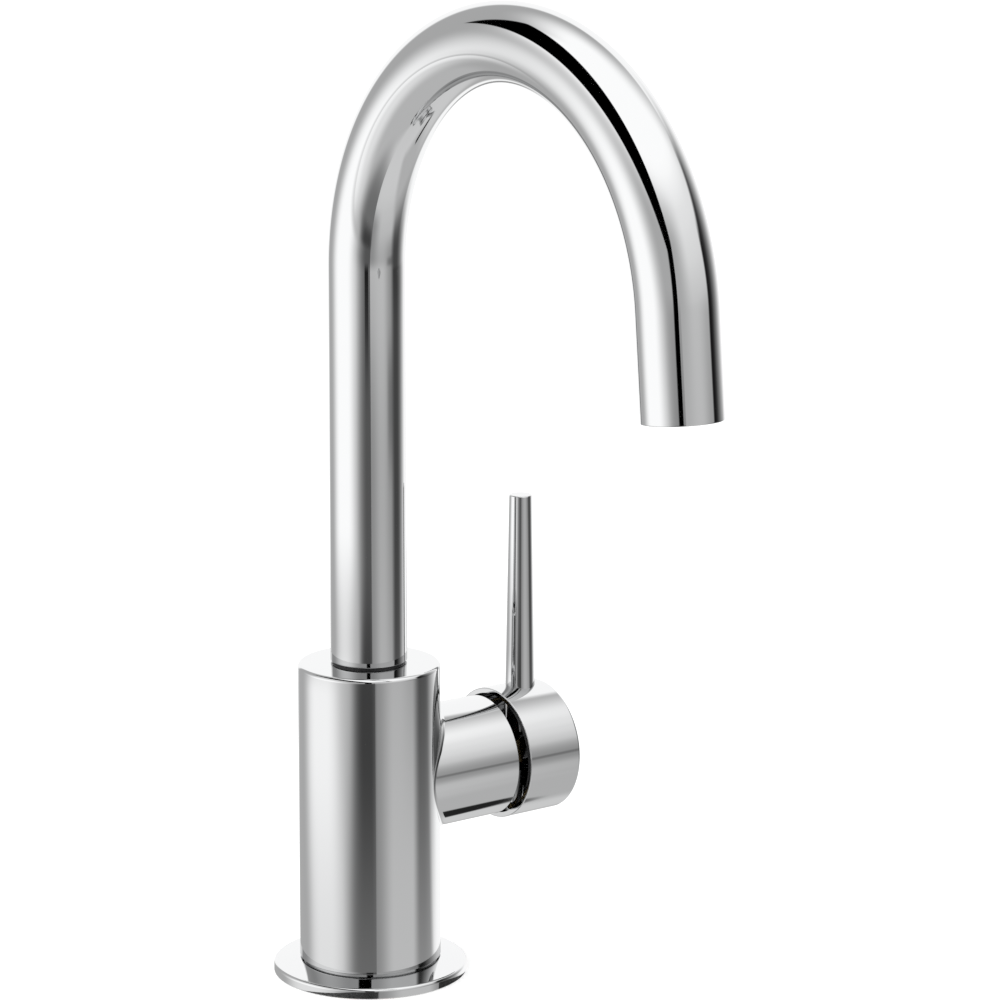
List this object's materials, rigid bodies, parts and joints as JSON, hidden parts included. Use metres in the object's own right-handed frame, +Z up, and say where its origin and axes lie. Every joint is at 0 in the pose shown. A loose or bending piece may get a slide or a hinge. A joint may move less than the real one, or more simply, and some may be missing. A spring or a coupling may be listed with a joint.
{
  "type": "gooseneck bar faucet",
  "caption": "Single-handle gooseneck bar faucet: chrome body on a round deck flange, tall swivelling bent tube spout, and a side cap with a slim lever for flow and temperature.",
  "frame": {"origin": "centre of the deck flange on the deck plane, on the spout's swivel axis", "axes": "+Z up along the body and the spout's riser; the spout reaches over -Y, towards the user; the handle's hub lies along +X"},
  "size_m": [0.1048, 0.2067, 0.3966],
  "materials": {
    "chrome": "polished chrome plating",
    "brass": "machined",
    "steel": "bright",
    "dark_steel": "black oxide",
    "black_rubber": "moulded",
    "black_plastic": "moulded",
    "white_plastic": "moulded",
    "red_plastic": "moulded",
    "ceramic": "lapped ceramic"
  },
  "bodies": {
    "faucet_body": {"base_flange": "chrome", "flange_gasket": "black_rubber", "body_shell": "chrome", "waterway_core": "brass", "glide_ring": "black_plastic", "mounting_shank": "brass", "deck_washer": "black_rubber", "clamp_washer": "steel", "mounting_nut": "brass", "cartridge_foot": "white_plastic", "port_seals": "black_rubber", "fixed_disc": "ceramic", "cartridge_housing": "white_plastic", "bonnet_nut": "brass", "bonnet_dome": "black_plastic"},
    "spout": {"spout_tube": "chrome", "spout_stem": "brass", "spout_o_rings": "black_rubber", "spout_clip": "steel", "outlet_bushing": "brass", "aerator_gasket": "black_rubber", "aerator_housing": "white_plastic", "flow_regulator": "white_plastic", "aerator_screen": "steel"},
    "rotor": {"stem_carrier": "black_plastic", "tilt_pin": "steel", "temperature_ring": "red_plastic"},
    "handle": {"control_stem": "brass", "handle_cap": "chrome", "handle_lever": "chrome", "grub_screw": "dark_steel"},
    "flow_disc": {"moving_disc": "ceramic", "disc_driver": "black_plastic"}
  },
  "joints": [
    {"name": "spout_swivel", "type": "hinge", "parent": "faucet_body", "child": "spout", "pos_m": [0, 0, 0.1], "axis": [0, 0, 1], "continuous": true},
    {"name": "handle_turn", "type": "hinge", "parent": "faucet_body", "child": "rotor", "pos_m": [0.038, 0, 0.0664], "axis": [1, 0, 0], "range_deg": [-45, 45]},
    {"name": "handle_tilt", "type": "hinge", "parent": "rotor", "child": "handle", "pos_m": [0.038, 0, 0.0664], "axis": [0, 1, 0], "range_deg": [0, 20]},
    {"name": "disc_slide", "type": "slide", "parent": "rotor", "child": "flow_disc", "axis": [0, 0, 1], "range_m": [0, 0.00345]}
  ],
  "couplings": [
    {"joint": "disc_slide", "follows": "handle_tilt", "m_per_rad": 0.0098}
  ]
}
